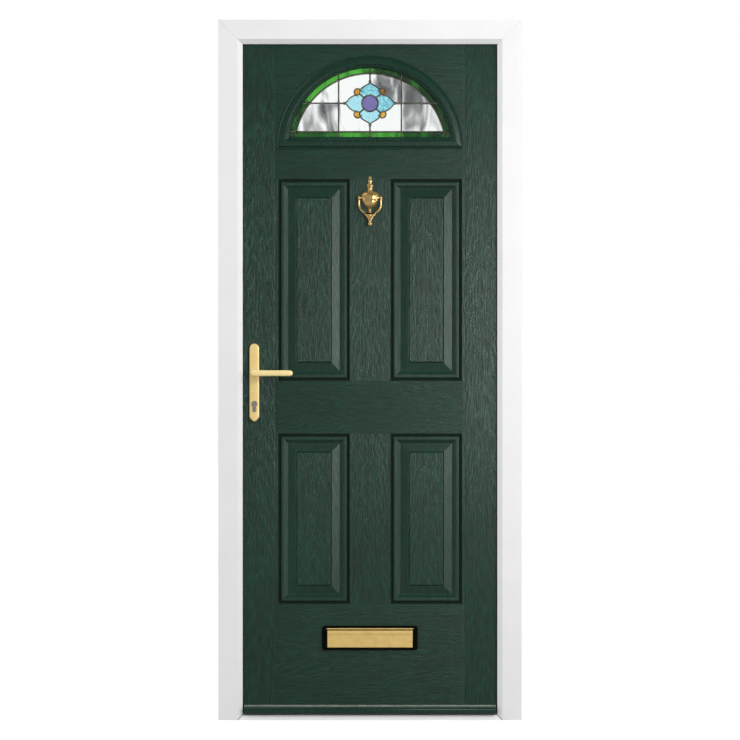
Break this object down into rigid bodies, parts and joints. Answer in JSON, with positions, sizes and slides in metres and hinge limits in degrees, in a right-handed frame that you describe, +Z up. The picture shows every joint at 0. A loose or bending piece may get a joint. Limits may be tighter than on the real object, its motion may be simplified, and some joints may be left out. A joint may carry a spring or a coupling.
{
  "type": "front door set",
  "caption": "Panelled front door hung in its frame, with a half-moon leaded light, lever handle, letterplate, knocker and weather bar.",
  "frame": {"origin": "middle of the frame's underside, at half the frame's depth", "axes": "+Z up, +Y indoors, +X to the hinge side, which is the right as seen from the street"},
  "size_m": [0.91, 0.138, 2.1],
  "materials": {
    "white_profile": "smooth white plastic",
    "white_skin": "white moulded skin",
    "green_skin": "dark green wood-grained skin",
    "green_trim": "dark green moulding",
    "galvanised": "galvanised",
    "zinc_steel": "zinc plated",
    "white_metal": "white powder coat",
    "black_rubber": "black",
    "grey_rubber": "grey",
    "foam": "rigid foam",
    "timber": "laminated timber",
    "clear_glass": "clear",
    "green_glass": "streaky green",
    "textured_glass": "clear, textured",
    "blue_glass": "light blue",
    "violet_glass": "violet",
    "amber_glass": "amber",
    "lead": "dull lead",
    "gold": "polished gold",
    "black_metal": "satin black",
    "black_plastic": "black",
    "nickel": "satin nickel",
    "plug_brass": "plain brass"
  },
  "bodies": {
    "frame": {"lock_jamb": "white_profile", "hinge_jamb": "white_profile", "frame_head": "white_profile", "threshold": "white_profile", "frame_reinforcement": "galvanised", "frame_seal": "black_rubber", "threshold_seal": "grey_rubber", "centre_keep": "zinc_steel", "hook_keeps": "zinc_steel", "frame_screws": "zinc_steel", "hinge_frame_leaves": "white_metal", "hinge_pins": "zinc_steel"},
    "leaf": {"outer_skin": "green_skin", "inner_skin": "white_skin", "foam_core": "foam", "lock_stile": "timber", "hinge_stile": "timber", "top_rail": "timber", "bottom_rail": "timber", "weather_bar": "green_trim", "outer_cassette": "green_trim", "inner_cassette": "white_skin", "cassette_screws": "zinc_steel", "outer_pane": "clear_glass", "inner_pane": "clear_glass", "glazing_spacer": "black_plastic", "lead_came": "lead", "green_border_glass": "green_glass", "textured_glass": "textured_glass", "blue_petal_glass": "blue_glass", "violet_boss_glass": "violet_glass", "amber_glass": "amber_glass", "lock_faceplate": "zinc_steel", "lock_gearbox": "zinc_steel", "hook_cases": "zinc_steel", "outer_backplate": "gold", "inner_backplate": "gold", "cylinder_body": "nickel", "letterplate_frame": "black_metal", "letterplate_sleeve": "black_plastic", "letterplate_inner_frame": "gold", "knocker_urn": "gold", "knocker_strike": "gold", "through_bolts": "gold", "hinge_door_leaves": "white_metal", "leaf_screws": "zinc_steel"},
    "lever_set": {"outer_lever": "gold", "inner_lever": "gold", "spindle": "zinc_steel", "lock_follower": "plug_brass"},
    "latch": {"latch_bolt": "zinc_steel"},
    "dead": {"dead_bolt": "zinc_steel"},
    "rods": {"drive_rods": "zinc_steel"},
    "hook_above": {"upper_hook": "zinc_steel"},
    "hook_below": {"lower_hook": "zinc_steel"},
    "post_flap": {"outer_flap": "gold"},
    "room_flap": {"inner_flap": "gold"},
    "clapper": {"knocker_clapper": "gold"},
    "street_plug": {"outer_plug": "plug_brass"},
    "room_plug": {"inner_plug": "plug_brass"}
  },
  "joints": [
    {"name": "leaf_swing", "type": "hinge", "parent": "frame", "child": "leaf", "pos_m": [0.396, 0.044, 0], "axis": [0, 0, -1], "range_deg": [0, 95]},
    {"name": "lever_turn", "type": "hinge", "parent": "leaf", "child": "lever_set", "pos_m": [-0.347, 0.007, 1.04], "axis": [0, 1, 0], "range_deg": [-38, 40], "stiffness_Nm_per_rad": 3, "springref_deg": -4.58},
    {"name": "latch_slide", "type": "slide", "parent": "leaf", "child": "latch", "axis": [1, 0, 0], "range_m": [0, 0.011], "stiffness_N_per_m": 300, "springref_m": -0.01},
    {"name": "dead_slide", "type": "slide", "parent": "leaf", "child": "dead", "axis": [-1, 0, 0], "range_m": [0, 0.02]},
    {"name": "rod_lift", "type": "slide", "parent": "leaf", "child": "rods", "axis": [0, 0, 1], "range_m": [0, 0.018]},
    {"name": "upper_hook_turn", "type": "hinge", "parent": "leaf", "child": "hook_above", "pos_m": [-0.374, 0.007, 1.58], "axis": [0, -1, 0], "range_deg": [0, 90]},
    {"name": "lower_hook_turn", "type": "hinge", "parent": "leaf", "child": "hook_below", "pos_m": [-0.374, 0.007, 0.46], "axis": [0, -1, 0], "range_deg": [0, 90]},
    {"name": "post_flap_lift", "type": "hinge", "parent": "leaf", "child": "post_flap", "pos_m": [0, -0.0208, 0.2732], "axis": [-1, 0, 0], "range_deg": [0, 85]},
    {"name": "room_flap_lift", "type": "hinge", "parent": "leaf", "child": "room_flap", "pos_m": [0, 0.0348, 0.2732], "axis": [1, 0, 0], "range_deg": [0, 85]},
    {"name": "clapper_swing", "type": "hinge", "parent": "leaf", "child": "clapper", "pos_m": [0, -0.029, 1.566], "axis": [-1, 0, 0], "range_deg": [0, 80]},
    {"name": "street_plug_turn", "type": "hinge", "parent": "leaf", "child": "street_plug", "pos_m": [-0.347, 0.007, 0.948], "axis": [0, 1, 0], "range_deg": [0, 360]},
    {"name": "room_plug_turn", "type": "hinge", "parent": "leaf", "child": "room_plug", "pos_m": [-0.347, 0.007, 0.948], "axis": [0, 1, 0], "continuous": true}
  ],
  "couplings": [
    {"joint": "street_plug_turn", "follows": "dead_slide", "rad_per_m": 314.15},
    {"joint": "upper_hook_turn", "follows": "rod_lift", "rad_per_m": 87.26},
    {"joint": "lower_hook_turn", "follows": "rod_lift", "rad_per_m": 87.26}
  ]
}
